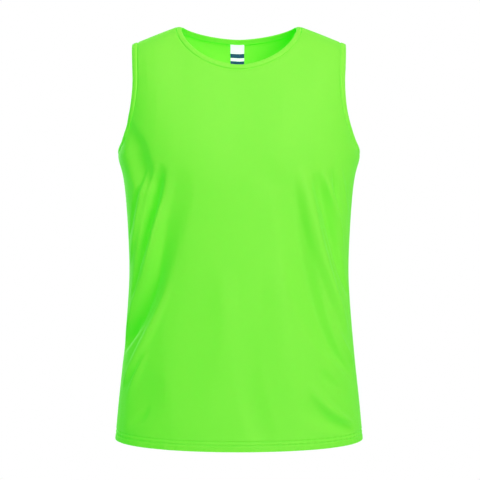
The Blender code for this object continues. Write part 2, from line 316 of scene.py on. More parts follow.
@dataclass(frozen=True)
class Girth:
    """Distance round the body, from the middle of the front: 0 to the half girth at the middle of the back."""

    form: WornForm
    height: float = -0.400
    steps: int = 400

    def quarter(self, side: Side) -> tuple[np.ndarray, np.ndarray]:
        """Angles from the middle of a panel, and the distance along the cloth to each.

        Args:
            side: the panel.

        Returns:
            The angles and the distances.
        """
        angles = np.linspace(0.0, math.pi / 2, self.steps)
        points = self.form.point(side, angles, np.full(self.steps, self.height))
        return angles, lengths_along(points)

    @property
    def half(self) -> float:
        """Half the girth."""
        return float(self.quarter(Side.FRONT)[1][-1] + self.quarter(Side.BACK)[1][-1])

    def around(self, side: Side, angle: np.ndarray) -> np.ndarray:
        """Distance round the body of places on a panel, positive to the wearer's left.

        Args:
            side: the panel.
            angle: angles from the middle of that panel.

        Returns:
            The distance of each place.
        """
        angles, lengths = self.quarter(side)
        along = np.interp(np.abs(angle), angles, lengths)
        if side is Side.BACK:
            along = self.half - along
        return np.copysign(along, angle)

    def from_degrees(self, degrees: np.ndarray) -> np.ndarray:
        """Distance round the body of an angle of up to 180 degrees from the middle of the front.

        Args:
            degrees: the angles, positive to the wearer's left.

        Returns:
            The distance of each.
        """
        size = np.radians(np.abs(degrees))
        front = self.around(Side.FRONT, np.minimum(size, math.pi / 2))
        back = self.around(Side.BACK, np.clip(math.pi - size, 0.0, math.pi / 2))
        return np.copysign(np.where(size <= math.pi / 2, front, back), degrees)


@dataclass(frozen=True)
class Fold:
    """A soft ridge, or a trough where its rise is negative.

    Each place on it is (degrees round the body from the middle of the front, height, rise, half width), the last
    three in millimetres. A lean above 0 makes the side to the wearer's left wider and the other steeper.
    """

    places: tuple[tuple[float, float, float, float], ...]
    roundness: float = 2.0
    lean: float = 0.0
    samples: int = 30

    def lift(self, girth: Girth, around: np.ndarray, height: np.ndarray) -> np.ndarray:
        """How far this fold lifts the cloth.

        Args:
            girth: measures round the body.
            around: distances round the body.
            height: heights above the origin.

        Returns:
            The lift at each place, in metres.
        """
        table = np.array(self.places, dtype=float)
        knots = np.column_stack([girth.from_degrees(table[:, 0]), table[:, 1:] / 1000])
        path = smooth_path(knots, self.samples)
        margin = path[:, 3].max() * 2
        lifted = np.zeros_like(around)
        spots = np.nonzero(np.abs(height - path[:, 1].mean()) < np.ptp(path[:, 1]) / 2 + margin)
        if len(spots[0]) == 0:
            return lifted
        place = np.stack([around[spots], height[spots]], axis=-1)[:, None, :]
        start, end = path[:-1, :2], path[1:, :2]
        to_place = place - start
        to_place[..., 0] = (to_place[..., 0] + girth.half) % (2 * girth.half) - girth.half
        run = end - start
        share = np.clip((to_place * run).sum(-1) / (run**2).sum(-1), 0.0, 1.0)
        gap = to_place - share[..., None] * run
        distance = np.linalg.norm(gap, axis=-1)
        rows, nearest = np.arange(len(distance)), distance.argmin(axis=1)
        share = share[rows, nearest]
        rise, width = (path[nearest, k] * (1 - share) + path[nearest + 1, k] * share for k in (2, 3))
        width = width * (1 + np.sign(gap[rows, nearest, 0]) * self.lean)
        reach = np.clip(distance[rows, nearest] / width, 0.0, 1.0)
        lifted[spots] = rise * (1 - reach**self.roundness) ** 2
        return lifted


def smooth_path(knots: np.ndarray, samples: int) -> np.ndarray:
    """A Catmull-Rom curve through the knots.

    Args:
        knots: one row for each knot.
        samples: how many rows the curve has.

    Returns:
        The curve's rows, with the knots' columns.
    """
    ends = np.vstack([2 * knots[0] - knots[1], knots, 2 * knots[-1] - knots[-2]])
    place = np.linspace(0, len(knots) - 1, samples)
    k = np.minimum(place.astype(int), len(knots) - 2)
    t = (place - k)[:, None]
    a, b, c, d = (ends[k + n] for n in range(4))
    return 0.5 * (2 * b + (c - a) * t + (2 * a - 5 * b + 4 * c - d) * t**2 + (3 * b - a - 3 * c + d) * t**3)


def mixed_with_neighbours(loop: np.ndarray, own: int) -> np.ndarray:
    """Each row of a closed line mixed with the two beside it, and counted this many times itself."""
    return (np.roll(loop, 1, axis=0) + own * loop + np.roll(loop, -1, axis=0)) / (own + 2)


def halved_steps(loop: np.ndarray) -> np.ndarray:
    """A closed line with a smoothly placed point between each two of its own.

    Args:
        loop: the line's points, one a row.

    Returns:
        Twice as many points.
    """
    loop = mixed_with_neighbours(loop, 6)
    near = loop + np.roll(loop, -1, axis=0)
    far = np.roll(loop, 1, axis=0) + np.roll(loop, -2, axis=0)
    return np.stack([loop, (9 * near - far) / 16], axis=1).reshape(-1, loop.shape[1])


def evened(loop: np.ndarray, passes: int) -> np.ndarray:
    """Directions round a closed line, evened out along it.

    Args:
        loop: the directions, one a row.
        passes: how many times each is mixed with its neighbours.

    Returns:
        The directions, of length 1.
    """
    for _ in range(passes):
        loop = mixed_with_neighbours(loop, 2)
    return unit(loop)


@dataclass(frozen=True)
class Ripples:
    """The small uneven waves of worn cloth, long up and down and short across, in ever finer and lower layers."""

    height: float = 0.00045
    across: float = 0.034
    along: float = 0.120
    layers: int = 3
    finer: float = 1.6
    lower: float = 1.9
    rows: int = 64
    seed: int = 11

    def lift(self, girth: Girth, around: np.ndarray, height: np.ndarray) -> np.ndarray:
        """The waves' lift at distances round the body and heights.

        Args:
            girth: measures round the body.
            around: distances round the body.
            height: heights above the origin.

        Returns:
            The lift at each place, in metres.
        """
        draw = np.random.default_rng(self.seed)
        lifted = np.zeros_like(around)
        waves = round(2 * girth.half / self.across)
        for layer in range(self.layers):
            cells = waves * 2**layer
            grid = draw.uniform(-1.0, 1.0, (cells, self.rows))
            u = (around / (2 * girth.half) + 0.5) * cells
            v = -height / (self.along / self.finer**layer)
            lifted += value_noise(grid, u, v) * self.height / self.lower**layer
        return lifted


def value_noise(grid: np.ndarray, u: np.ndarray, v: np.ndarray) -> np.ndarray:
    """Smooth values between those of a grid, which repeats along u.

    Args:
        grid: the values, by column and row.
        u: places across the columns.
        v: places down the rows.

    Returns:
        The value at each place.
    """
    low_u, low_v = np.floor(u).astype(int), np.floor(v).astype(int)
    share_u, share_v = smooth_step(u - low_u, 0.0, 1.0), smooth_step(v - low_v, 0.0, 1.0)
    columns, rows = grid.shape
    a, b = low_u % columns, (low_u + 1) % columns
    c, d = low_v % rows, (low_v + 1) % rows
    lower = grid[a, c] * (1 - share_u) + grid[b, c] * share_u
    upper = grid[a, d] * (1 - share_u) + grid[b, d] * share_u
    return lower * (1 - share_v) + upper * share_v


FRONT_FOLDS: tuple[Fold, ...] = (
    # Under the wearer's right arm
    Fold(((-65.3, -59, 0, 18), (-66.7, -103, 1.6, 25), (-70.5, -142, 2.2, 25), (-75.7, -172, 2.2, 22),
          (-90.0, -198, 1.6, 18), (-90.0, -220, 0, 12))),
    Fold(((-73.2, -159, 0, 14), (-64.3, -186, -3.5, 20), (-57.4, -212, -8, 28), (-54.5, -248, -9, 31),
          (-51.3, -281, 0, 20))),
    Fold(((-39.1, -235, 0, 11), (-44.7, -268, -13, 15), (-50.6, -307, -17, 16), (-57.2, -350, -14, 15),
          (-63.6, -391, -8, 12), (-70.9, -437, 0, 9)), lean=0.3),
    Fold(((-49.2, -235, 0, 6), (-55.4, -278, 4, 8), (-61.4, -321, 5, 8), (-68.4, -361, 4, 7), (-79.5, -405, 0, 6))),
    Fold(((-54.1, -245, 0, 7), (-60.3, -278, -3, 9), (-65.7, -306, -3, 8), (-72.7, -340, -2, 7),
          (-80.8, -368, 0, 6))),
    Fold(((-40.7, -290, 0, 9), (-45.1, -333, 5, 12), (-50.4, -379, 8, 13), (-58.0, -431, 8, 13), (-67.6, -475, 5, 11),
          (-76.2, -507, 0, 8))),
    Fold(((-63.9, -404, 0, 6), (-69.2, -435, -4, 8), (-73.5, -462, 0, 6))),
    Fold(((-28.6, -242, 0, 20), (-33.1, -284, -5, 25), (-38.8, -328, -10, 28), (-45.7, -376, -16, 30),
          (-54.2, -426, -22, 31), (-63.7, -469, -25, 31), (-75.8, -510, -21, 26), (-90.0, -547, -12, 18),
          (-90.0, -573, 0, 13)), lean=0.4),
    Fold(((-37.0, -429, 0, 9), (-42.5, -467, 5, 11), (-50.3, -511, 8, 12), (-58.6, -549, 8, 12), (-67.2, -582, 6, 11),
          (-76.9, -612, 0, 8))),
    Fold(((-50.3, -536, 0, 8), (-54.3, -563, 4, 9), (-59.5, -591, 5, 9), (-66.9, -620, 0, 7))),
    Fold(((-41.9, -575, 0, 28), (-47.1, -606, -4.5, 42), (-51.4, -634, -4.5, 42), (-60.9, -660, 0, 28))),
    Fold(((-47.1, -630, 0, 9), (-53.0, -655, -4, 11), (-63.7, -670, 0, 9))),
    # Under the wearer's left arm
    Fold(((23.7, -255, 0, 20), (27.2, -298, -4, 28), (31.8, -355, -8, 31), (36.4, -408, -12, 33),
          (41.3, -457, -14, 33), (46.0, -500, -13, 29), (52.8, -535, -11, 21), (61.1, -563, -7, 14),
          (70.9, -591, 0, 9)), lean=-0.4),
    Fold(((30.0, -235, 0, 15), (34.1, -276, 8, 17), (38.0, -316, 12, 18), (42.7, -359, 13, 18), (48.3, -399, 13, 17),
          (54.0, -436, 12, 16), (61.2, -473, 9, 14), (70.9, -515, 0, 10))),
    Fold(((39.9, -248, 0, 11), (44.5, -282, -8, 14), (51.0, -324, -11, 14), (57.5, -363, -12, 14),
          (63.8, -401, -10, 13), (71.0, -435, -5, 10), (79.4, -460, 0, 8)), lean=-0.2),
    Fold(((44.1, -242, 0, 8), (49.3, -274, 6, 9), (55.8, -307, 7, 9), (62.3, -341, 6, 8), (68.9, -378, 0, 7))),
    Fold(((50.3, -238, 0, 7), (54.8, -268, -5, 8), (58.3, -298, -5, 8), (62.6, -321, 0, 7))),
    Fold(((54.5, -232, 0, 6), (61.5, -265, 3, 7), (68.2, -300, 2.5, 6), (76.0, -325, 0, 6))),
    Fold(((54.2, -495, 0, 8), (60.9, -523, 3, 10), (69.4, -555, 5, 9), (76.4, -581, 0, 7))),
    Fold(((42.1, -569, 0, 9), (46.4, -586, -4, 12), (54.2, -605, -3, 11), (62.4, -614, 0, 8))),
    Fold(((33.1, -590, 0, 12), (40.2, -616, 5, 15), (47.5, -640, 7, 14), (57.2, -658, 6, 10), (67.4, -671, 0, 7))),
    Fold(((29.2, -623, 0, 20), (36.1, -640, -4, 25), (44.9, -657, -6, 21), (55.8, -669, -6.5, 15),
          (66.9, -678, 0, 9))),
    # Down the middle of the front
    Fold(((-17.7, -398, 0, 26), (-19.1, -463, -1.5, 38), (-21.1, -529, -2.2, 44), (-22.8, -602, -2.2, 44),
          (-24.0, -668, 0, 32))),
    Fold(((-7.5, -393, 0, 20), (-6.9, -455, 3, 26), (-6.7, -520, 2, 26), (-8.4, -585, 0, 20))),
    Fold(((5.4, -487, 0, 22), (4.3, -539, -2.5, 28), (5.1, -591, -3.5, 27), (7.3, -630, -4.5, 26),
          (9.4, -663, -4.5, 26), (10.7, -683, -2.5, 22))),
    Fold(((19.7, -384, 0, 24), (20.2, -439, 4, 32), (21.3, -504, 4, 32), (22.5, -586, 3, 30), (25.0, -668, 0, 22))),
    Fold(((8.7, -229, 0, 24), (14.8, -258, -3, 34), (22.0, -277, 0, 24))),
)

BACK_FOLDS: tuple[Fold, ...] = (
    Fold(((110, -170, 0, 20), (122, -200, -5, 28), (134, -240, -5, 32), (143, -290, 0, 26))),
    Fold(((137, -250, 0, 12), (131, -310, -5, 20), (123, -380, -7, 24), (112, -460, -5, 22), (102, -520, 0, 14))),
    Fold(((130, -262, 0, 9), (124, -320, 4, 13), (116, -380, 4, 13), (106, -440, 0, 9)), 1.6),
    Fold(((150, -300, 0, 18), (145, -380, -5, 26), (137, -460, -7, 30), (123, -540, -6, 26), (108, -590, 0, 16))),
    Fold(((141, -420, 0, 14), (132, -490, 5, 20), (120, -560, 5, 20), (109, -615, 0, 14))),
    Fold(((-108, -165, 0, 20), (-120, -196, -5, 28), (-133, -240, -6, 32), (-144, -300, 0, 26))),
    Fold(((-138, -245, 0, 12), (-130, -305, -6, 18), (-120, -370, -6, 20), (-107, -450, 0, 12))),
    Fold(((-133, -300, 0, 9), (-125, -360, 4, 13), (-116, -420, 4, 13), (-105, -480, 0, 9)), 1.6),
    Fold(((-151, -270, 0, 18), (-147, -350, -5, 26), (-139, -430, -8, 30), (-126, -510, -7, 26),
          (-108, -570, 0, 16))),
    Fold(((-142, -440, 0, 14), (-133, -510, 4, 20), (-121, -570, 5, 20), (-107, -630, 0, 14))),
    Fold(((172, -330, 0, 24), (168, -430, -3, 32), (164, -540, -4, 34), (160, -640, 0, 28))),
    Fold(((-176, -350, 0, 22), (-175, -450, 2.5, 30), (-172, -580, 2, 30), (-170, -660, 0, 24))),
    Fold(((-164, -380, 0, 22), (-161, -470, -3, 30), (-157, -590, -3, 32), (-153, -680, 0, 26))),
    Fold(((150, -540, 0, 18), (146, -600, 3, 26), (140, -670, 0, 20))),
)


@dataclass(frozen=True)
class PanelGrid:
    """How finely a panel is divided."""

    neck_columns: int = 46
    shoulder_columns: int = 58
    neck_column_bias: float = 0.6
    armhole_rows: int = 52
    armhole_row_power: float = 1.35
    neck_row_ease: float = 0.02
    body_rows: int = 120
    solver_steps: int = 40

    def columns(self, form: WornForm) -> np.ndarray:
        """Places of the columns, -1 to 1, with one on each end of the neck seam.

        Args:
            form: the worn form.

        Returns:
            The places, in order.
        """
        end_height = form.shoulder_line(np.array(form.neck_seam_half_width))
        end_angle = math.asin(form.neck_seam_half_width / float(form.level_value(end_height, "half_width")))
        quarter = math.pi / 4
        turn = form.armhole_turn
        neck_share = (quarter - math.sqrt(quarter**2 - turn * end_angle)) / turn
        even = np.arange(1, self.neck_columns + 1) / self.neck_columns
        crowded = np.sin(even * math.pi / 2)
        neck = neck_share * (even + self.neck_column_bias * (crowded - even))
        step = np.arange(1, self.shoulder_columns + 1) / self.shoulder_columns
        half = np.concatenate([neck, neck_share + (1 - neck_share) * step])
        return np.concatenate([-half[::-1], [0.0], half])


@dataclass(frozen=True)
class Hem:
    """The turned-up edge, sewn with a twin needle.

    rows_to, puckers_to and pucker_fade are shares of the depth. pucker_drift says how far the puckers wander from
    their even places, in radians, and how often, in radians a metre.
    """

    depth: float = 0.018
    stitch_heights: tuple[float, float] = (0.0098, 0.0160)
    groove: float = 0.0009
    groove_width: float = 0.0028
    rows: int = 24
    pucker: float = 0.00022
    pucker_length: float = 0.0085
    rows_to: float = 1.2
    puckers_to: float = 1.3
    pucker_fade: float = 0.5
    pucker_drift: tuple[float, float] = (9.0, 23.0)


@dataclass
class ShirtSurface:
    """The folded surface of both panels, as grids of points and normals with shared seams."""

    form: WornForm
    girth: Girth
    grid: PanelGrid
    hem: Hem
    folds: tuple[Fold, ...]
    ripples: Ripples
    seam_dip: float = 0.0009
    seam_dip_width: float = 0.0040
    seam_hold: float = 0.030
    weld: float = 0.00001
    points: dict[Side, np.ndarray] = field(default_factory=dict)
    normals: dict[Side, np.ndarray] = field(default_factory=dict)
    around: dict[Side, np.ndarray] = field(default_factory=dict)
    seam_points: dict[Side, np.ndarray] = field(default_factory=dict)
    seam_normals: dict[Side, np.ndarray] = field(default_factory=dict)

    def solve_height(self, across: np.ndarray, height_at_x: Callable[[np.ndarray], np.ndarray]) -> np.ndarray:
        """The height at which each column meets a line that is given as a height for each x.

        Args:
            across: the columns' places.
            height_at_x: gives the line's heights.

        Returns:
            One height for each column.
        """
        form = self.form
        height = np.full(across.shape, float(form.shoulder_line(np.array(form.neck_edge_half_width))))
        for _ in range(self.grid.solver_steps):
            x = form.x_at(form.column_angle(across, height), height)
            height = (height + height_at_x(x)) / 2
        return height

    def row_heights(self, side: Side, across: np.ndarray) -> np.ndarray:
        """Heights of the grid's points, row by row from the hem.

        Args:
            side: the panel.
            across: the columns' places.

        Returns:
            An array of rows by columns.
        """
        form, grid, hem = self.form, self.grid, self.hem
        hem_rows = form.hem_height + np.linspace(0.0, hem.depth * hem.rows_to, hem.rows)
        body = np.linspace(hem_rows[-1], form.underarm_height, grid.body_rows + 1)[1:]
        low = np.concatenate([hem_rows, body])
        neck = np.abs(across) < across[-grid.shoulder_columns - 1] - 1e-9
        to_neck = self.solve_height(across, lambda x: form.neck_seam(side, x))
        to_shoulder = self.solve_height(across, form.shoulder_line)
        top = np.where(neck, to_neck, to_shoulder)
        top_x = form.x_at(form.column_angle(across, top), top)
        highest = np.maximum(form.shoulder_line(top_x) - top, 0.0)
        underarm = np.full(across.shape, form.underarm_height)
        underarm_x = form.x_at(form.column_angle(across, underarm), underarm)
        lowest = form.shoulder_line(underarm_x) - form.underarm_height
        ease = grid.neck_row_ease / (grid.neck_row_ease + highest)
        power = 1 + (form.roundness_at(side, top_x) - 1) * ease
        rows = [np.full(across.shape, height) for height in low]
        for k in range(1, grid.armhole_rows):
            share = (k / grid.armhole_rows) ** grid.armhole_row_power
            fall = highest + (lowest - highest) * (1 - share) ** power
            rows.append(self.solve_height(across, lambda x, fall=fall: form.shoulder_line(x) - fall))
        return np.array(rows + [top])

    def edges(self) -> dict[Edge, list[tuple[int, int]]]:
        """The (row, column) indices along each edge, in order round a panel.

        Returns:
            The indices along each edge, both ends included.
        """
        grid = self.grid
        shoulder, right = grid.shoulder_columns, 2 * (grid.neck_columns + grid.shoulder_columns)
        underarm = self.hem.rows + grid.body_rows - 1
        top = underarm + grid.armhole_rows
        return {
            Edge.HEM: [(0, c) for c in range(right + 1)],
            Edge.RIGHT_SIDE: [(r, right) for r in range(underarm + 1)],
            Edge.RIGHT_ARMHOLE: [(r, right) for r in range(underarm, top + 1)],
            Edge.RIGHT_SHOULDER: [(top, c) for c in range(right, right - shoulder - 1, -1)],
            Edge.NECK: [(top, c) for c in range(right - shoulder, shoulder - 1, -1)],
            Edge.LEFT_SHOULDER: [(top, c) for c in range(shoulder, -1, -1)],
            Edge.LEFT_ARMHOLE: [(r, 0) for r in range(top, underarm - 1, -1)],
            Edge.LEFT_SIDE: [(r, 0) for r in range(underarm, -1, -1)],
        }

    def edge_distance(self, points: np.ndarray, edges: tuple[Edge, ...]) -> np.ndarray:
        """Distance of each grid point to the nearest point of some edges.

        Args:
            points: the panel's grid of points.
            edges: the edges to measure to.

        Returns:
            The distances, rows by columns.
        """
        indices = [index for edge in edges for index in self.edges()[edge]]
        tree = KDTree(len(indices))
        for k, (r, c) in enumerate(indices):
            tree.insert(points[r, c], k)
        tree.balance()
        found = np.array([tree.find(point)[2] for point in points.reshape(-1, 3)])
        return found.reshape(points.shape[:2])

    def shared_normals(self) -> dict[Side, np.ndarray]:
        """Outward normals of both grids, the same on both sides of a seam.

        Returns:
            Each panel's grid of normals.
        """
        flat = np.concatenate([self.points[side].reshape(-1, 3) for side in Side])
        keys = np.round(flat / self.weld).astype(np.int64)
        _, welded = np.unique(keys, axis=0, return_inverse=True)
        shapes = {side: self.points[side].shape[:2] for side in Side}
        parts = np.split(welded.reshape(-1), [math.prod(shapes[Side.FRONT])])
        numbers = {side: part.reshape(shapes[side]) for side, part in zip(Side, parts)}
        sums = np.zeros((welded.max() + 1, 3))
        for side, own in numbers.items():
            p = self.points[side]
            normal = np.cross(p[1:, 1:] - p[:-1, :-1], p[1:, :-1] - p[:-1, 1:]).reshape(-1, 3)
            for corner in (own[:-1, :-1], own[:-1, 1:], own[1:, 1:], own[1:, :-1]):
                np.add.at(sums, corner.reshape(-1), normal)
        sums = unit(sums)
        return {side: sums[own] for side, own in numbers.items()}

    def build(self) -> None:
        """Lays out the smooth panels, then lifts their folds, hem and seams."""
        columns = self.grid.columns(self.form)
        for side in Side:
            across = -side.value * columns
            heights = self.row_heights(side, np.sort(across))
            if side is Side.BACK:
                heights = heights[:, ::-1]
            angles = self.form.column_angle(across[None, :], heights)
            self.points[side] = self.form.point(side, angles, heights)
            self.around[side] = self.girth.around(side, angles)
        normals = self.shared_normals()
        joins = tuple(edge for edge in Edge if edge is not Edge.HEM)
        held = tuple(edge for edge in joins if edge not in (Edge.RIGHT_ARMHOLE, Edge.LEFT_ARMHOLE))
        dips = {}
        for side in Side:
            points, around = self.points[side], self.around[side]
            height = points[..., 2]
            lift = self.ripples.lift(self.girth, around, height)
            for fold in self.folds:
                lift += fold.lift(self.girth, around, height)
            lift *= smooth_step(self.edge_distance(points, held), 0.0, self.seam_hold)
            lift += self.hem_lift(around, height)
            to_join = self.edge_distance(points, joins)
            dips[side] = self.seam_dip * (1 - smooth_step(to_join, 0.0, self.seam_dip_width))
            self.points[side] = points + normals[side] * lift[..., None]
        self.seam_points, self.seam_normals = dict(self.points), self.shared_normals()
        for side in Side:
            self.points[side] = self.points[side] - self.seam_normals[side] * dips[side][..., None]
        self.normals = self.shared_normals()

    def hem_lift(self, around: np.ndarray, height: np.ndarray) -> np.ndarray:
        """The grooves that the twin needle draws into the hem, and the puckers between its stitches.

        Args:
            around: distances round the body.
            height: heights above the origin.

        Returns:
            The lift at each place, in metres.
        """
        hem = self.hem
        above = height - self.form.hem_height
        lift = np.zeros_like(around)
        for stitch in hem.stitch_heights:
            lift -= hem.groove * np.exp(-(((above - stitch) / hem.groove_width * 2) ** 2))
        hem_share = smooth_step(hem.depth * hem.puckers_to - above, 0.0, hem.depth * hem.pucker_fade)
        drift, turns = hem.pucker_drift
        wave = np.sin(around / hem.pucker_length * 2 * math.pi + drift * np.sin(around * turns))
        return lift + hem_share * wave * hem.pucker


@dataclass(frozen=True)
class Tree:
    """The nodes of one finish or of the surround."""

    owner: bpy.types.Material | bpy.types.World

    def set(self, node: bpy.types.Node, **values: object) -> bpy.types.Node:
        """Sets a node's inputs, whose names have _ for a space.

        Args:
            node: the node.
            values: the value of each input.

        Returns:
            The same node.
        """
        for name, value in values.items():
            node.inputs[name.replace("_", " ")].default_value = value
        return node

    def add(self, kind: str, **values: object) -> bpy.types.Node:
        """Adds a node with some of its inputs set."""
        return self.set(self.owner.node_tree.nodes.new(f"ShaderNode{kind}"), **values)

    def link(self, source: bpy.types.NodeSocket, target: bpy.types.NodeSocket) -> None:
        """Leads one socket to another."""
        self.owner.node_tree.links.new(source, target)

    def shader(self, colour: Triple, painted_glow: float) -> bpy.types.Node:
        """The finish's own shader, with its painted glow: an emission that stands in for light."""
        shader = self.owner.node_tree.nodes["Principled BSDF"]
        return self.set(shader, Emission_Color=(*colour, 1.0), Emission_Strength=painted_glow)

    def colour(self, share: bpy.types.NodeSocket, low: Triple, high: Triple, target: bpy.types.NodeSocket) -> None:
        """Gives a socket a colour between two.

        Args:
            share: how far from the first to the second, 0 to 1.
            low: the first colour.
            high: the second colour.
            target: the socket.
        """
        mix = self.add("Mix")
        mix.data_type = "RGBA"
        self.set(mix, A=(*low, 1.0), B=(*high, 1.0))
        self.link(share, mix.inputs["Factor"])
        self.link(mix.outputs["Result"], target)

    def bump(self, height: bpy.types.NodeSocket, distance: float, strength: float, shader: bpy.types.Node) -> None:
        """Bends a shader's normal by a height.

        Args:
            height: the socket that gives the height, 0 to 1.
            distance: the height of 1, in metres.
            strength: how much of it shows.
            shader: the shader.
        """
        bump = self.add("Bump", Distance=distance, Strength=strength)
        self.link(height, bump.inputs["Height"])
        self.link(bump.outputs["Normal"], shader.inputs["Normal"])


def new_finish(name: str) -> Tree:
    """A new material's nodes, with a Principled shader.

    Args:
        name: the material's name.

    Returns:
        Its nodes.
    """
    material = bpy.data.materials.new(name)
    material.use_nodes = True
    return Tree(material)


@dataclass(frozen=True)
class KnitFinish:
    """Fluorescent green polyester knit: fine loops, slight mottling and a slight sheen, with a painted green glow
    that keeps its shaded places bright green.
    """

    name: str
    colour: Triple = (0.192, 0.222, 0.0425)
    deep_colour: Triple = (0.177, 0.205, 0.0385)
    # Painted light: a green emission that keeps the shade in folds and hollows bright green.
    painted_glow_colour: Triple = (0.0, 1.0, 0.0)
    painted_glow: float = 0.62
    wale: float = 0.00085
    course: float = 0.00070
    loop_height: float = 0.00012
    loop_strength: float = 0.55
    roughness: float = 0.72
    roughness_spread: float = 0.06
    specular: float = 0.25
    sheen: float = 0.05
    sheen_roughness: float = 0.4
    softness: float = 0.45
    softness_depth: float = 0.003
    mottle_scale: float = 38.0
    mottle_detail: float = 6.0
    mottle_roughness: float = 0.62

    def make(self) -> bpy.types.Material:
        """Builds the material's nodes.

        Returns:
            The material.
        """
        tree = new_finish(self.name)
        shader = tree.set(
            tree.shader(self.painted_glow_colour, self.painted_glow),
            Sheen_Weight=self.sheen,
            Sheen_Roughness=self.sheen_roughness,
            Specular_IOR_Level=self.specular,
            Subsurface_Weight=self.softness,
            Subsurface_Radius=(1.0, 1.0, 1.0),
            Subsurface_Scale=self.softness_depth,
        )
        place = tree.add("UVMap")
        place.uv_map = CLOTH_MAP
        mottle = tree.add(
            "TexNoise", Scale=self.mottle_scale, Detail=self.mottle_detail, Roughness=self.mottle_roughness
        )
        tree.link(place.outputs["UV"], mottle.inputs["Vector"])
        tree.colour(mottle.outputs["Fac"], self.deep_colour, self.colour, shader.inputs["Base Color"])
        least, most = self.roughness - self.roughness_spread, self.roughness + self.roughness_spread
        rough = tree.add("MapRange", To_Min=least, To_Max=most)
        tree.link(mottle.outputs["Fac"], rough.inputs["Value"])
        tree.link(rough.outputs["Result"], shader.inputs["Roughness"])
        tree.bump(self.loops(tree, place.outputs["UV"]), self.loop_height, self.loop_strength, shader)
        return tree.owner

    def loops(self, tree: Tree, place: bpy.types.NodeSocket) -> bpy.types.NodeSocket:
        """The height of the knit's V-shaped loops.

        Args:
            tree: the material's nodes.
            place: the cloth's own coordinates, in metres.

        Returns:
            The socket that gives the height, 0 to 1.
        """

        def calculate(operation: str, *values: object) -> bpy.types.NodeSocket:
            """The socket of a sum of sockets and numbers.

            Args:
                operation: the Math node's operation.
                values: its inputs in order.

            Returns:
                The result's socket.
            """
            node = tree.add("Math")
            node.operation = operation
            for socket, value in zip(node.inputs, values):
                if isinstance(value, bpy.types.NodeSocket):
                    tree.link(value, socket)
                else:
                    socket.default_value = value
            return node.outputs[0]

        split = tree.add("SeparateXYZ")
        tree.link(place, split.inputs[0])
        wale = calculate("DIVIDE", split.outputs["X"], self.wale)
        course = calculate("DIVIDE", split.outputs["Y"], self.course)
        from_middle = calculate("ABSOLUTE", calculate("SUBTRACT", calculate("FRACT", wale), 0.5))
        slanted = calculate("MULTIPLY", calculate("ADD", course, from_middle), 2 * math.pi)
        leg = calculate("MULTIPLY_ADD", calculate("SINE", slanted), 0.5, 0.5)
        arch = calculate("ABSOLUTE", calculate("SINE", calculate("MULTIPLY", from_middle, 2 * math.pi)))
        return calculate("MULTIPLY", leg, arch)


@dataclass(frozen=True)
class PlainFinish:
    """A finish with one colour and a little unevenness: thread, label cloth or the studio's floor. Thread and label
    carry a painted glow, an emission that stands in for light.
    """

    name: str
    colour: Triple
    roughness: float
    unevenness: float = 0.03
    grain: float = 400.0
    grain_detail: float = 3.0
    bump: float = 0.0
    bump_strength: float = 0.6
    # Painted light: an emission that stands in for light falling on the thread or the label.
    painted_glow: float = 0.0
    painted_glow_colour: Triple = (0.0, 1.0, 0.0)

    def make(self) -> bpy.types.Material:
        """Builds the material's nodes.

        Returns:
            The material.
        """
        tree = new_finish(self.name)
        shader = tree.set(tree.shader(self.painted_glow_colour, self.painted_glow), Roughness=self.roughness)
        noise = tree.add("TexNoise", Scale=self.grain, Detail=self.grain_detail)
        tree.link(tree.add("TexCoord").outputs["Object"], noise.inputs["Vector"])
        low, high = (
            tuple(min(c * (1 + change), 1.0) for c in self.colour) for change in (-self.unevenness, self.unevenness)
        )
        tree.colour(noise.outputs["Fac"], low, high, shader.inputs["Base Color"])
        if self.bump:
            tree.bump(noise.outputs["Fac"], self.bump, self.bump_strength, shader)
        return tree.owner


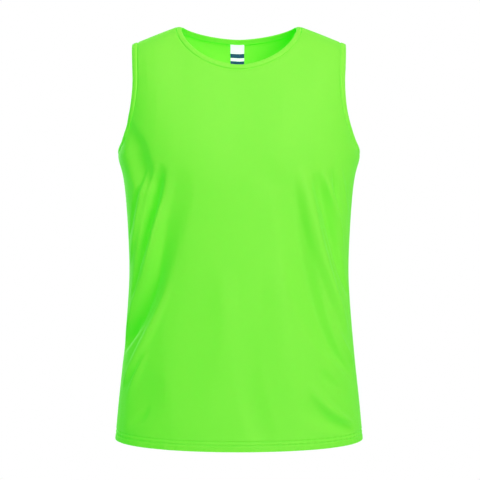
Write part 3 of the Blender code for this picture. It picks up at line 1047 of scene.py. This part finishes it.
@dataclass
class Piece:
    """A mesh being put together: points, faces, each face's material and each point's cloth coordinates."""

    name: str
    points: list[np.ndarray] = field(default_factory=list)
    faces: list[tuple[int, ...]] = field(default_factory=list)
    finishes: list[int] = field(default_factory=list)
    cloth: list[np.ndarray] = field(default_factory=list)
    count: int = 0

    def add_points(self, points: np.ndarray, cloth: np.ndarray | None = None) -> np.ndarray:
        """Adds points.

        Args:
            points: any array of points.
            cloth: their cloth coordinates, in metres.

        Returns:
            The points' numbers, in the array's shape.
        """
        flat = points.reshape(-1, 3)
        self.points.append(flat)
        self.cloth.append(np.zeros((len(flat), 2)) if cloth is None else cloth.reshape(-1, 2))
        numbers = np.arange(self.count, self.count + len(flat)).reshape(points.shape[:-1])
        self.count += len(flat)
        return numbers

    def add_quads(self, numbers: np.ndarray, around: bool = False, turned: bool = False, finish: int = 0) -> None:
        """Adds the faces of a grid of points.

        Args:
            numbers: the points' numbers, rows by columns.
            around: whether the rows close on themselves.
            turned: whether the faces look the other way.
            finish: the faces' material.
        """
        if around:
            numbers = np.concatenate([numbers, numbers[:, :1]], axis=1)
        quads = np.stack([numbers[:-1, :-1], numbers[:-1, 1:], numbers[1:, 1:], numbers[1:, :-1]], axis=-1)
        quads = quads.reshape(-1, 4)
        if turned:
            quads = quads[:, ::-1]
        self.faces += [tuple(quad) for quad in quads.tolist()]
        self.finishes += [finish] * len(quads)

    def make(self, materials: list[bpy.types.Material], slot: Slot, sharp_angle: float = 60.0) -> bpy.types.Object:
        """Makes the object, which rides on the shirt.

        Args:
            materials: the materials that the faces' finishes number.
            slot: the record's slot; not used.
            sharp_angle: edges that turn by more than this many degrees are drawn sharp.

        Returns:
            The object.
        """
        mesh = bpy.data.meshes.new(self.name)
        mesh.from_pydata(np.concatenate(self.points).tolist(), [], self.faces)
        layer = mesh.uv_layers.new(name=CLOTH_MAP)
        loops = np.zeros(len(mesh.loops), dtype=np.int32)
        mesh.loops.foreach_get("vertex_index", loops)
        layer.uv.foreach_set("vector", np.concatenate(self.cloth)[loops].astype(np.float32).ravel())
        for material in materials:
            mesh.materials.append(material)
        mesh.polygons.foreach_set("material_index", np.array(self.finishes, dtype=np.int32))
        mesh.shade_smooth()
        mesh.set_sharp_from_angle(angle=math.radians(sharp_angle))
        mesh.validate()
        made = in_scene(self.name, mesh)
        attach(made, BODY)
        LOG.info("%s: %d faces", self.name, len(self.faces))
        return made


@dataclass
class Panel:
    """A front or back: one layer of cloth, two at the turned-up hem."""

    side: Side
    surface: ShirtSurface
    finish: bpy.types.Material
    # The inside faces' finish: a lighter copy of the knit, painted light that stands in for light shining through the
    # cloth.
    painted_lit_inside: bpy.types.Material
    thickness: float = 0.0011
    gap: float = 0.00006
    tuck: float = 0.0003
    hem_step: float = 0.0006
    rim_height: float = 0.0016
    rim_thinning: float = 0.55
    flat: tuple[float, float] = (0.530, 0.722)
    flat_area: float = 0.335

    def drawn_back(self, distance: float) -> np.ndarray:
        """The cloth, drawn back from every seam, or over it where the distance is negative.

        Args:
            distance: how far, in metres.

        Returns:
            The panel's grid of points.
        """
        points, normals = self.surface.points[self.side], self.surface.normals[self.side]
        pulled = points.copy()
        for edge, indices in self.surface.edges().items():
            if edge is Edge.HEM:
                continue
            rows, columns = np.array(indices).T
            line = points[rows, columns]
            inward = unit(np.cross(normals[rows, columns], np.gradient(line, axis=0)))
            pulled[rows, columns] += inward * distance
        return pulled

    def cloth_coordinates(self, points: np.ndarray) -> np.ndarray:
        """Distance round the body and along the cloth from the hem."""
        return np.stack([self.surface.around[self.side], lengths_along(points)], axis=-1)

    def build(self) -> bpy.types.Object:
        """Makes the panel in place of the cut's own.

        Returns:
            The panel.
        """
        piece = Piece(f"{self.side.name.lower()}_panel")
        outer = self.drawn_back(self.gap)
        normals = self.surface.normals[self.side]
        cloth = self.cloth_coordinates(outer)
        depth = self.surface.hem.depth
        above = outer[..., 2] - self.surface.form.hem_height
        layers = 1 + (1 - smooth_step(above, depth - self.hem_step, depth + self.hem_step))
        rim = 1 - self.rim_thinning * (1 - np.clip(above / self.rim_height, 0.0, 1.0)) ** 2
        inner = self.drawn_back(-self.tuck) - normals * (self.thickness * layers * rim)[..., None]
        front = piece.add_points(outer, cloth)
        behind = piece.add_points(inner, cloth)
        piece.add_quads(front)
        piece.add_quads(behind, turned=True, finish=1)
        loop = [index for indices in self.surface.edges().values() for index in indices[:-1]]
        rows, columns = np.array(loop).T
        piece.add_quads(np.stack([behind[rows, columns], front[rows, columns]]), around=True)
        made = piece.make([self.finish, self.painted_lit_inside], Slot.BODY)
        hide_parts(self.side.name.lower())
        return made


@dataclass
class Band:
    """A folded band round an opening, with a rounded edge and a sunk seam."""

    name: str
    node: str
    loop: tuple[tuple[Side, Edge], tuple[Side, Edge]]
    width: float
    surface: ShirtSurface
    finish: bpy.types.Material
    gap: float = 0.00015
    flap: float = 0.0017
    swell: float = 0.0007
    depth: float = 0.0019
    passes: int = 10
    strip_share: float = 1.12

    def profile(self) -> np.ndarray:
        """The section of the band: distance from the seam and height above the cloth, round once.

        Returns:
            One row for each corner.
        """
        w, high, low = self.width, self.swell, -self.depth
        return np.array(
            [
                (self.gap, -0.0009), (self.gap + 0.0004, -0.0002), (w * 0.14, high * 0.55),
                (w * 0.32, high * 0.95), (w * 0.55, high), (w * 0.76, high * 0.80), (w * 0.90, high * 0.25),
                (w * 0.97, -0.0003), (w, -0.0009), (w * 0.97, low + 0.0005), (w * 0.88, low + 0.0001),
                (w * 0.55, low), (w * 0.20, low), (w * 0.06, low - 0.0004),
                (-self.flap * 0.85, low - 0.0003), (-self.flap, low), (self.gap, low + 0.0002),
            ]
        )

    def seam(self) -> tuple[np.ndarray, np.ndarray, np.ndarray]:
        """The seam's points, their normals and the directions out of the cloth, round the opening.

        Returns:
            The three, one row for each place on the seam.
        """
        points, normals = [], []
        for side, edge in self.loop:
            rows, columns = np.array(self.surface.edges()[edge][:-1]).T
            points.append(self.surface.seam_points[side][rows, columns])
            normals.append(self.surface.seam_normals[side][rows, columns])
        line = halved_steps(np.concatenate(points))
        normal = evened(halved_steps(np.concatenate(normals)), self.passes)
        along = np.roll(line, -1, axis=0) - np.roll(line, 1, axis=0)
        return line, normal, evened(unit(np.cross(along, normal)), self.passes)

    def build(self) -> bpy.types.Object:
        """Makes the band in place of the cut's own.

        Returns:
            The band.
        """
        line, normal, outward = self.seam()
        profile = self.profile()
        points = line + outward * profile[:, 0, None, None] + normal * profile[:, 1, None, None]
        across = lengths_along(profile)[:, None]
        cloth = np.stack(np.broadcast_arrays(lengths_along(line)[None, :], across), axis=-1)
        piece = Piece(self.name)
        numbers = piece.add_points(points, cloth)
        numbers = np.concatenate([numbers, numbers[:1]])
        piece.add_quads(numbers, around=True)
        made = piece.make([self.finish], Slot.BAND)
        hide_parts(self.node)
        return made


@dataclass
class Stitching:
    """Rows of machine stitches along lines on the cloth.

    A stitch is a bar of three-sided rings. Each ring is (place along it, size, height in units of proud).
    """

    name: str
    finish: bpy.types.Material
    slot: Slot
    pitch: float = 0.0030
    length: float = 0.0024
    half_width: float = 0.00030
    proud: float = 0.00025
    first: float = 0.1
    ring: tuple[tuple[float, float], ...] = ((-1.0, -0.5), (0.0, 1.0), (1.0, -0.5))
    rings: tuple[Triple, ...] = ((0.0, 0.25, -1.0), (0.25, 0.9, 0.7), (0.75, 0.9, 0.7), (1.0, 0.25, -1.0))

    def stitch_points(self, start: np.ndarray, end: np.ndarray, normal: np.ndarray) -> np.ndarray:
        """The rings of points of the stitches, each a rounded bar sunk at its ends.

        Args:
            start: where each stitch starts.
            end: where it ends.
            normal: the cloth's normal there.

        Returns:
            The points, by stitch, ring and corner.
        """
        along = end - start
        across = unit(np.cross(normal, along))
        rings = []
        for place, size, lift in self.rings:
            middle = start + along * place + normal * (self.proud * lift)
            reach = self.half_width * size
            corners = [middle + across * (reach * a) + normal * (reach * b) for a, b in self.ring]
            rings.append(np.stack(corners, axis=1))
        return np.stack(rings, axis=1)

    def build(self, lines: list[tuple[np.ndarray, np.ndarray]]) -> bpy.types.Object:
        """Sews along lines of points and normals.

        Args:
            lines: each line's points and their normals.

        Returns:
            One object with all the stitches.
        """
        piece = Piece(self.name)
        for line, normal in lines:
            lengths = lengths_along(line)
            count = max(int(lengths[-1] / self.pitch), 1)
            starts = (np.arange(count) + self.first) * lengths[-1] / count

            def at(place: np.ndarray, values: np.ndarray, lengths: np.ndarray = lengths) -> np.ndarray:
                """Values at places along the line."""
                return np.stack([np.interp(place, lengths, values[:, k]) for k in range(3)], axis=1)

            start, end = at(starts, line), at(starts + self.length, line)
            points = self.stitch_points(start, end, unit(at(starts, normal)))
            numbers = piece.add_points(points)
            for stitch in numbers:
                piece.add_quads(stitch, around=True)
                piece.faces += [tuple(stitch[0][::-1].tolist()), tuple(stitch[-1].tolist())]
                piece.finishes += [0, 0]
        return piece.make([self.finish], self.slot)


@dataclass
class NeckLabel:
    """A woven label sewn into the back neck seam, with two plain navy bands.

    Each of its rows is (share of the height, finish of the strip below: 0 for the cloth or 1 for a band).
    """

    surface: ShirtSurface
    cloth: bpy.types.Material
    bands: bpy.types.Material
    width: float = 0.024
    height: float = 0.041
    off_centre: float = -0.003
    thickness: float = 0.0007
    below_seam: float = 0.0006
    panel_depth: float = 0.0020
    curl: float = 0.0012
    curl_spread: tuple[float, float] = (0.6, 0.8)
    curl_wave: tuple[float, float] = (5.0, 0.6)
    sharp_angle: float = 40.0
    rows: tuple[tuple[float, int], ...] = (
        (0.0, 0), (0.03, 0), (0.12, 0), (0.22, 0), (0.30, 0), (0.357, 1), (0.44, 1), (0.530, 0), (0.59, 0),
        (0.658, 1), (0.73, 1), (0.80, 0), (0.88, 0), (0.96, 0), (1.0, 0),
    )
    columns: int = 12

    def build(self) -> bpy.types.Object:
        """Makes the label in place of the cut's own.

        Returns:
            The label.
        """
        form = self.surface.form
        shares = np.array([share for share, _ in self.rows])
        across = np.linspace(-0.5, 0.5, self.columns + 1)
        x = self.off_centre + self.width * across[None, :]
        heights = form.neck_seam(Side.BACK, x) - self.below_seam - self.height * shares[:, None]
        angles = np.arcsin(x / form.level_value(heights, "half_width"))
        face = form.point(Side.BACK, angles, heights)
        normal = unit(np.cross(np.gradient(face, axis=1), np.gradient(face, axis=0)))
        normal *= np.sign(normal[..., 1:2])
        least, spread = self.curl_spread
        turns, shift = self.curl_wave
        ease = self.curl * shares[:, None] ** 2 * (least + spread * np.sin(across[None, :] * turns + shift))
        outer = face - normal * (self.panel_depth + ease)[..., None]
        inner = outer - normal * self.thickness
        piece = Piece("neck_label_cloth")
        back = piece.add_points(outer)
        front = piece.add_points(inner)
        for k in range(len(self.rows) - 1):
            finish = self.rows[k][1]
            piece.add_quads(front[k : k + 2], finish=finish)
            piece.add_quads(back[k : k + 2], turned=True, finish=finish)
            for column, turned in ((0, False), (-1, True)):
                strip = np.stack([back[k : k + 2, column], front[k : k + 2, column]], axis=1)
                piece.add_quads(strip, turned=turned, finish=finish)
        for row, turned in ((0, True), (-1, False)):
            piece.add_quads(np.stack([back[row], front[row]]), turned=turned, finish=self.rows[row][1])
        made = piece.make([self.cloth, self.bands], Slot.LABEL, self.sharp_angle)
        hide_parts("neck_label")
        return made


@dataclass(frozen=True)
class SoftBox:
    """A square lamp: its place, its side in metres and its power in watts."""

    name: str
    place: Triple
    side: float
    power: float

    def make(self, aim: Triple) -> None:
        """Hangs the lamp, turned to a point.

        Args:
            aim: the point.
        """
        light = bpy.data.lights.new(self.name, "AREA")
        light.shape, light.size, light.energy = "SQUARE", self.side, self.power
        lamp = in_scene(self.name, light)
        lamp.location = self.place
        lamp.visible_camera = False
        lamp.rotation_euler = (Vector(aim) - Vector(self.place)).to_track_quat("-Z", "Y").to_euler()


@dataclass
class Studio:
    """The pale floor, the soft lights and the camera."""

    focal_pixels: float = 1411.8
    image_pixels: float = 480.0
    sensor: float = 36.0
    camera_place: Triple = (0.0017, -2.4, -0.2449)
    camera_tilt: float = 2.84
    camera_range: tuple[float, float] = (0.05, 20.0)
    floor_height: float = -1.42
    floor_radius: float = 2.3
    floor_corners: int = 96
    floor_finish: PlainFinish = PlainFinish("pale_floor", (0.86, 0.86, 0.86), 0.8, 0.01, 3.0)
    lamps: tuple[SoftBox, ...] = (
        SoftBox("key", (1.05, -1.95, 0.40), 0.8, 45.0),
        SoftBox("top", (-0.26, -1.46, 1.43), 0.8, 30.0),
        SoftBox("rear", (-1.25, 2.00, 0.35), 0.9, 28.0),
    )
    chest: Triple = (0.0, 0.0, -0.33)
    backdrop_white: float = 1.0
    ambient_front: float = 0.04
    ambient_back: float = 0.65
    ambient_turn: tuple[float, float] = (-0.2, 0.9)

    def build(self) -> None:
        """Sets up everything round the shirt."""
        self.make_floor()
        self.make_world()
        for lamp in self.lamps:
            lamp.make(self.chest)
        self.make_camera()
        view = bpy.context.scene.view_settings
        view.view_transform, view.look = "Standard", "None"

    def make_floor(self) -> None:
        """A round pale floor well below the hem."""
        count = self.floor_corners
        turn = np.linspace(0.0, 2 * math.pi, count, endpoint=False)
        ring = np.stack([np.cos(turn), np.sin(turn), np.zeros(count)], axis=1) * self.floor_radius
        ring[:, 2] = self.floor_height
        mesh = bpy.data.meshes.new("studio_floor")
        mesh.from_pydata(ring.tolist(), [], [tuple(range(count))])
        mesh.materials.append(self.floor_finish.make())
        in_scene("studio_floor", mesh)

    def make_world(self) -> None:
        """A white surround that lights the shirt mostly from behind it."""
        world = bpy.data.worlds.new("studio")
        bpy.context.scene.world = world
        world.use_nodes = True
        tree = Tree(world)
        background = tree.set(world.node_tree.nodes["Background"], Color=(1.0, 1.0, 1.0, 1.0))
        split = tree.add("SeparateXYZ")
        tree.link(tree.add("TexCoord").outputs["Generated"], split.inputs[0])
        start, end = self.ambient_turn
        front, back = self.ambient_front, self.ambient_back
        light = tree.add("MapRange", From_Min=start, From_Max=end, To_Min=front, To_Max=back)
        light.interpolation_type = "SMOOTHSTEP"
        tree.link(split.outputs["Y"], light.inputs["Value"])
        strength = tree.add("MapRange", To_Max=self.backdrop_white)
        tree.link(light.outputs["Result"], strength.inputs["To Min"])
        tree.link(tree.add("LightPath").outputs["Is Camera Ray"], strength.inputs["Value"])
        tree.link(strength.outputs["Result"], background.inputs["Strength"])

    def make_camera(self) -> None:
        """The camera at the photo's angle."""
        camera = bpy.data.cameras.new("camera")
        camera.sensor_width = self.sensor
        camera.lens = self.focal_pixels * self.sensor / self.image_pixels
        camera.clip_start, camera.clip_end = self.camera_range
        placed = in_scene("camera", camera)
        placed.location = self.camera_place
        placed.rotation_euler = (math.radians(90 - self.camera_tilt), 0.0, 0.0)
        bpy.context.scene.camera = placed


@dataclass
class Shirt:
    """The whole shirt."""

    form: WornForm = field(default_factory=WornForm)

    def build(self) -> None:
        """Makes the surface, then each piece on it."""
        folds = FRONT_FOLDS + BACK_FOLDS
        surface = ShirtSurface(self.form, Girth(self.form), PanelGrid(), Hem(), folds, Ripples())
        surface.build()
        body = KnitFinish("green_knit").make()
        # The inside is painted lighter than the outside, standing in for light that shines through the cloth.
        painted_lit_inside = KnitFinish("green_knit_painted_lit_inside", (0.255, 0.29, 0.056), (0.237, 0.27, 0.051)).make()
        band = KnitFinish("green_band_knit", (0.205, 0.235, 0.047), (0.19, 0.218, 0.042)).make()
        # The thread's glow is painted light, matching the knit's painted green glow.
        thread = PlainFinish("green_thread", (0.175, 0.205, 0.040), 0.5, painted_glow=0.60).make()
        panels = {side: Panel(side, surface, body, painted_lit_inside) for side in Side}
        made = {side: panel.build() for side, panel in panels.items()}
        hems = {side: self.hem_stitches(surface, side, thread) for side in Side}
        front, back = Side.FRONT, Side.BACK
        bands = (
            ("neckband", 0.009, (front, Edge.NECK), (back, Edge.NECK)),
            ("armhole_band_left", 0.010, (front, Edge.RIGHT_ARMHOLE), (back, Edge.LEFT_ARMHOLE)),
            ("armhole_band_right", 0.010, (back, Edge.RIGHT_ARMHOLE), (front, Edge.LEFT_ARMHOLE)),
        )
        for node, width, *loop in bands:
            Band(f"{node}_fold", node, tuple(loop), width, surface, band).build()
        # The label's lilac glow is painted light that offsets the green light cast on it, so that it shows white.
        label = PlainFinish(
            "white_label", (0.84, 0.84, 0.86), 0.6, 0.04, 900.0, bump=0.0001, painted_glow=0.38, painted_glow_colour=(0.92, 0.62, 1.0)
        ).make()
        navy = PlainFinish("navy_label_bands", (0.012, 0.06, 0.20), 0.6, 0.06, 900.0, bump=0.0001).make()
        NeckLabel(surface, label, navy).build()

    def hem_stitches(self, surface: ShirtSurface, side: Side, thread: bpy.types.Material) -> bpy.types.Object:
        """The twin needle's two rows on one panel.

        Args:
            surface: the folded surface.
            side: the panel.
            thread: the thread's finish.

        Returns:
            The stitches.
        """
        points, normals = surface.points[side], surface.normals[side]
        lines = []
        for height in surface.hem.stitch_heights:
            row = int(np.abs(points[:, 0, 2] - self.form.hem_height - height).argmin())
            lines.append((points[row], normals[row]))
        return Stitching(f"{side.name.lower()}_hem_stitches", thread, Slot.BODY).build(lines)


def main() -> None:
    """Builds the shirt and the studio."""
    logging.basicConfig(level=logging.INFO, format="%(name)s: %(message)s")
    Shirt().build()
    Studio().build()


if __name__ == "__main__":
    main()
